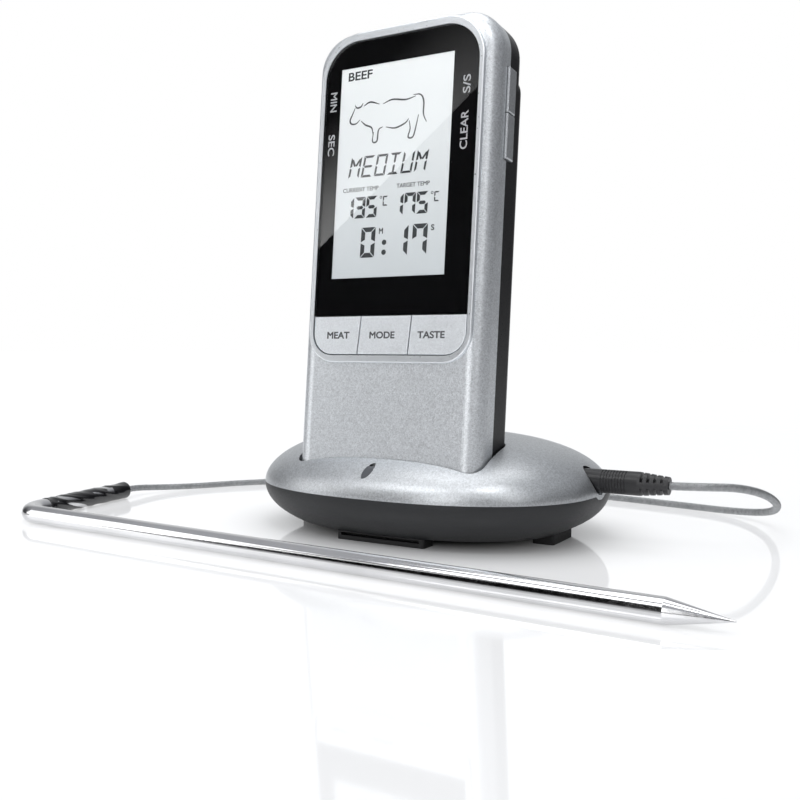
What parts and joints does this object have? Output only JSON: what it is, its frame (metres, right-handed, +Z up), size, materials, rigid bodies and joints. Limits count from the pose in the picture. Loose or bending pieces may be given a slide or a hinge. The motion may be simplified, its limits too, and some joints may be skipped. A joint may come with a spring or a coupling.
{
  "type": "meat thermometer",
  "caption": "Wireless meat thermometer: a display handset that stands in an oval radio base, with a bent steel probe on a braided lead plugged into the base.",
  "frame": {"origin": "on the surface that the base stands on, under the centre of the base", "axes": "+Z up, +X along the base's long axis towards the probe plug, the display faces -Y"},
  "size_m": [0.2337, 0.1532, 0.1511],
  "materials": {
    "silver_paint": "satin metallic silver lacquer over moulded plastic",
    "silver_keys": "satin light silver lacquer",
    "black_cover": "satin black moulded plastic",
    "hull_grey": "matt dark grey moulded plastic",
    "foot_black": "matt black rubber",
    "window": "clear polished acrylic with a black printed border",
    "lcd": "pale grey liquid crystal picture area",
    "dark_gloss": "polished black",
    "white_plastic": "matt white",
    "lens": "smoked translucent lens",
    "board": "green solder mask",
    "metal_part": "plated steel",
    "gold_contact": "plated brass",
    "cell_wrap": "printed film",
    "plug_black": "satin black overmoulding",
    "braid": "fine grey metal braid",
    "sleeve": "shiny shrunk sleeve",
    "steel": "mirror polished stainless steel",
    "white_sleeve": "insulated wire"
  },
  "bodies": {
    "base": {"base_top_shell": "silver_paint", "base_bottom_shell": "hull_grey", "front_foot": "foot_black", "side_feet": "foot_black", "status_lens": "lens", "status_led": "white_plastic", "transmitter_board": "board", "radio_module": "metal_part", "transmitter_chip": "dark_gloss", "transmitter_antenna": "gold_contact", "probe_jack": "dark_gloss", "base_batteries": "cell_wrap", "base_battery_contacts": "metal_part", "base_screws": "metal_part", "base_switch_body": "dark_gloss"},
    "base_door": {"base_battery_door": "hull_grey"},
    "base_switch": {"base_power_switch": "foot_black"},
    "handset": {"handset_front_shell": "silver_paint", "handset_rear_cover": "black_cover", "display_window": "window", "lcd_holder": "dark_gloss", "lcd_panel": "lcd", "backlight_panel": "white_plastic", "lcd_connector_strip": "foot_black", "main_board": "board", "front_switches": "metal_part", "side_switches": "metal_part", "buzzer": "dark_gloss", "receiver_module": "metal_part", "receiver_antenna": "gold_contact", "handset_batteries": "cell_wrap", "handset_battery_contacts": "metal_part", "handset_screws": "metal_part"},
    "meat_button": {"meat_button": "silver_keys"},
    "mode_button": {"mode_button": "silver_keys"},
    "taste_button": {"taste_button": "silver_keys"},
    "second_button": {"second_button": "silver_keys"},
    "minute_button": {"minute_button": "silver_keys"},
    "clear_button": {"clear_button": "silver_keys"},
    "start_stop_button": {"start_stop_button": "silver_keys"},
    "hatch": {"handset_battery_hatch": "black_cover"},
    "probe_lead": {"plug_pin": "gold_contact", "plug_overmould": "plug_black", "probe_cord": "braid", "heat_shrink_sleeve": "sleeve", "probe_tube": "steel", "probe_tip": "steel", "thermistor": "lens", "thermistor_lead": "white_sleeve"}
  },
  "joints": [
    {"name": "handset_lift", "type": "slide", "parent": "base", "child": "handset", "axis": [0, 0.0981, 0.9952], "range_m": [0, 0.04]},
    {"name": "meat_press", "type": "slide", "parent": "handset", "child": "meat_button", "axis": [0, 0.9952, -0.0981], "range_m": [0, 0.0008], "stiffness_N_per_m": 800},
    {"name": "mode_press", "type": "slide", "parent": "handset", "child": "mode_button", "axis": [0, 0.9952, -0.0981], "range_m": [0, 0.0008], "stiffness_N_per_m": 800},
    {"name": "taste_press", "type": "slide", "parent": "handset", "child": "taste_button", "axis": [0, 0.9952, -0.0981], "range_m": [0, 0.0008], "stiffness_N_per_m": 800},
    {"name": "second_press", "type": "slide", "parent": "handset", "child": "second_button", "axis": [1, 0, 0], "range_m": [0, 0.0008], "stiffness_N_per_m": 800},
    {"name": "minute_press", "type": "slide", "parent": "handset", "child": "minute_button", "axis": [1, 0, 0], "range_m": [0, 0.0008], "stiffness_N_per_m": 800},
    {"name": "clear_press", "type": "slide", "parent": "handset", "child": "clear_button", "axis": [-1, 0, 0], "range_m": [0, 0.0008], "stiffness_N_per_m": 800},
    {"name": "start_stop_press", "type": "slide", "parent": "handset", "child": "start_stop_button", "axis": [-1, 0, 0], "range_m": [0, 0.0008], "stiffness_N_per_m": 800},
    {"name": "hatch_swing", "type": "hinge", "parent": "handset", "child": "hatch", "pos_m": [0, -0.00941, 0.04457], "axis": [-1, 0, 0], "range_deg": [0, 75]},
    {"name": "base_door_slide", "type": "slide", "parent": "base", "child": "base_door", "axis": [0, -1, 0], "range_m": [0, 0.008]},
    {"name": "base_switch_slide", "type": "slide", "parent": "base", "child": "base_switch", "axis": [1, 0, 0], "range_m": [0, 0.004]},
    {"name": "probe_unplug", "type": "slide", "parent": "base", "child": "probe_lead", "axis": [1, 0, 0], "range_m": [0, 0.014]}
  ]
}
